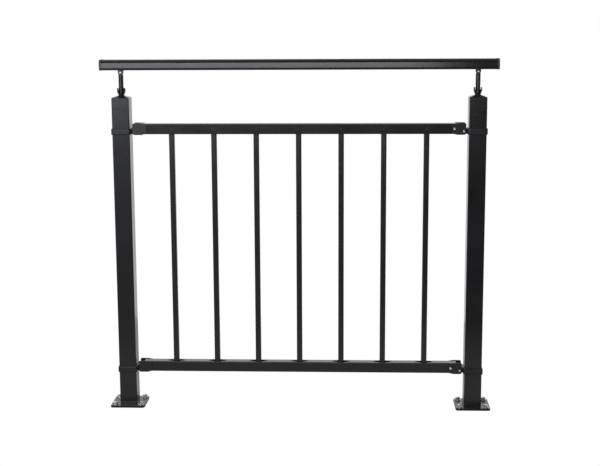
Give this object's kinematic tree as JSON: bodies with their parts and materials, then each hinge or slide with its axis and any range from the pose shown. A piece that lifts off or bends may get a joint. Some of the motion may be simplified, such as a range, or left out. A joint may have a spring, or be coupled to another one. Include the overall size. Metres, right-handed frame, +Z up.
{
  "type": "pool handrail",
  "caption": "Black balustrade panel with square posts on bolted plates, swivel rail brackets, upright bars and a raised handrail on stems that adjust in height.",
  "frame": {"origin": "on the floor, midway between the two posts and midway through their depth", "axes": "+X along the rail from the left post to the right, +Y from front to back, +Z up"},
  "size_m": [1.125, 0.1, 1.0114],
  "materials": {
    "post_coat": "satin black powder coat",
    "rail_coat": "satin black powder coat",
    "baluster_coat": "satin black powder coat",
    "fitting_coat": "satin black powder coat on cast fittings",
    "end_cap": "black moulded plastic",
    "black_steel": "blackened steel",
    "stainless": "plain bright steel"
  },
  "bodies": {
    "left_post": {"left_base_plate": "post_coat", "left_post_spigot": "black_steel", "left_anchor_washers": "stainless", "left_anchor_nuts": "stainless", "left_post": "post_coat", "left_post_screw": "black_steel", "left_post_cap": "post_coat", "left_stem_fork": "fitting_coat", "left_fork_screw": "black_steel", "left_upper_collar": "fitting_coat", "left_lower_collar": "fitting_coat", "left_collar_screws": "black_steel", "left_pivot_sleeves": "black_steel", "left_pivot_bolts": "stainless"},
    "right_post": {"right_base_plate": "post_coat", "right_post_spigot": "black_steel", "right_anchor_washers": "stainless", "right_anchor_nuts": "stainless", "right_post": "post_coat", "right_post_screw": "black_steel", "right_post_cap": "post_coat", "right_stem_fork": "fitting_coat", "right_fork_screw": "black_steel", "right_upper_collar": "fitting_coat", "right_lower_collar": "fitting_coat", "right_collar_screws": "black_steel", "right_pivot_sleeves": "black_steel", "right_pivot_bolts": "stainless"},
    "top_rail": {"top_rail": "rail_coat", "left_upper_bracket": "fitting_coat", "right_upper_bracket": "fitting_coat", "top_rail_screws": "stainless", "top_baluster_pins": "black_steel"},
    "bottom_rail": {"bottom_rail": "rail_coat", "left_lower_bracket": "fitting_coat", "right_lower_bracket": "fitting_coat", "bottom_rail_screws": "stainless", "bottom_baluster_pins": "black_steel"},
    "baluster_1": {"baluster_1": "baluster_coat"},
    "baluster_2": {"baluster_2": "baluster_coat"},
    "baluster_3": {"baluster_3": "baluster_coat"},
    "baluster_4": {"baluster_4": "baluster_coat"},
    "baluster_5": {"baluster_5": "baluster_coat"},
    "baluster_6": {"baluster_6": "baluster_coat"},
    "baluster_7": {"baluster_7": "baluster_coat"},
    "left_stem": {"left_stem": "fitting_coat", "left_saddle_pin": "stainless"},
    "right_stem": {"right_stem": "fitting_coat", "right_saddle_pin": "stainless"},
    "handrail": {"handrail": "rail_coat", "handrail_left_cap": "end_cap", "handrail_right_cap": "end_cap", "left_saddle": "fitting_coat", "left_saddle_screws": "stainless"},
    "right_saddle": {"right_saddle": "fitting_coat", "right_saddle_screws": "stainless"}
  },
  "joints": [
    {"name": "rake", "type": "hinge", "parent": "left_post", "child": "top_rail", "pos_m": [-0.4675, 0, 0.808], "axis": [0, -1, 0], "range_deg": [-20, 20]},
    {"name": "bottom_rail_rake", "type": "hinge", "parent": "left_post", "child": "bottom_rail", "pos_m": [-0.4675, 0, 0.11], "axis": [0, -1, 0], "range_deg": [-20, 20]},
    {"name": "right_post_rake", "type": "hinge", "parent": "top_rail", "child": "right_post", "pos_m": [0.4675, 0, 0.808], "axis": [0, -1, 0], "range_deg": [-20, 20]},
    {"name": "stem_height", "type": "slide", "parent": "left_post", "child": "left_stem", "axis": [0, 0, 1], "range_m": [-0.015, 0.02]},
    {"name": "right_stem_height", "type": "slide", "parent": "right_post", "child": "right_stem", "axis": [0, 0, 1], "range_m": [-0.015, 0.02]},
    {"name": "handrail_rake", "type": "hinge", "parent": "left_stem", "child": "handrail", "pos_m": [-0.505, 0, 0.9755], "axis": [0, -1, 0], "range_deg": [-18.6, 18.6]},
    {"name": "right_saddle_rake", "type": "hinge", "parent": "right_stem", "child": "right_saddle", "pos_m": [0.505, 0, 0.9755], "axis": [0, -1, 0], "range_deg": [-18.6, 18.6]},
    {"name": "baluster_1_rake", "type": "hinge", "parent": "top_rail", "child": "baluster_1", "pos_m": [-0.363, 0, 0.815], "axis": [0, -1, 0], "range_deg": [-20, 20]},
    {"name": "baluster_2_rake", "type": "hinge", "parent": "top_rail", "child": "baluster_2", "pos_m": [-0.242, 0, 0.815], "axis": [0, -1, 0], "range_deg": [-20, 20]},
    {"name": "baluster_3_rake", "type": "hinge", "parent": "top_rail", "child": "baluster_3", "pos_m": [-0.121, 0, 0.815], "axis": [0, -1, 0], "range_deg": [-20, 20]},
    {"name": "baluster_4_rake", "type": "hinge", "parent": "top_rail", "child": "baluster_4", "pos_m": [0, 0, 0.815], "axis": [0, -1, 0], "range_deg": [-20, 20]},
    {"name": "baluster_5_rake", "type": "hinge", "parent": "top_rail", "child": "baluster_5", "pos_m": [0.121, 0, 0.815], "axis": [0, -1, 0], "range_deg": [-20, 20]},
    {"name": "baluster_6_rake", "type": "hinge", "parent": "top_rail", "child": "baluster_6", "pos_m": [0.242, 0, 0.815], "axis": [0, -1, 0], "range_deg": [-20, 20]},
    {"name": "baluster_7_rake", "type": "hinge", "parent": "top_rail", "child": "baluster_7", "pos_m": [0.363, 0, 0.815], "axis": [0, -1, 0], "range_deg": [-20, 20]}
  ],
  "couplings": [
    {"joint": "bottom_rail_rake", "follows": "rake", "ratio": 1},
    {"joint": "right_post_rake", "follows": "rake", "ratio": -1},
    {"joint": "handrail_rake", "follows": "rake", "ratio": 0.9266},
    {"joint": "right_saddle_rake", "follows": "rake", "ratio": 0.9266},
    {"joint": "right_stem_height", "follows": "stem_height", "ratio": 1},
    {"joint": "baluster_1_rake", "follows": "rake", "ratio": -1},
    {"joint": "baluster_2_rake", "follows": "rake", "ratio": -1},
    {"joint": "baluster_3_rake", "follows": "rake", "ratio": -1},
    {"joint": "baluster_4_rake", "follows": "rake", "ratio": -1},
    {"joint": "baluster_5_rake", "follows": "rake", "ratio": -1},
    {"joint": "baluster_6_rake", "follows": "rake", "ratio": -1},
    {"joint": "baluster_7_rake", "follows": "rake", "ratio": -1}
  ]
}
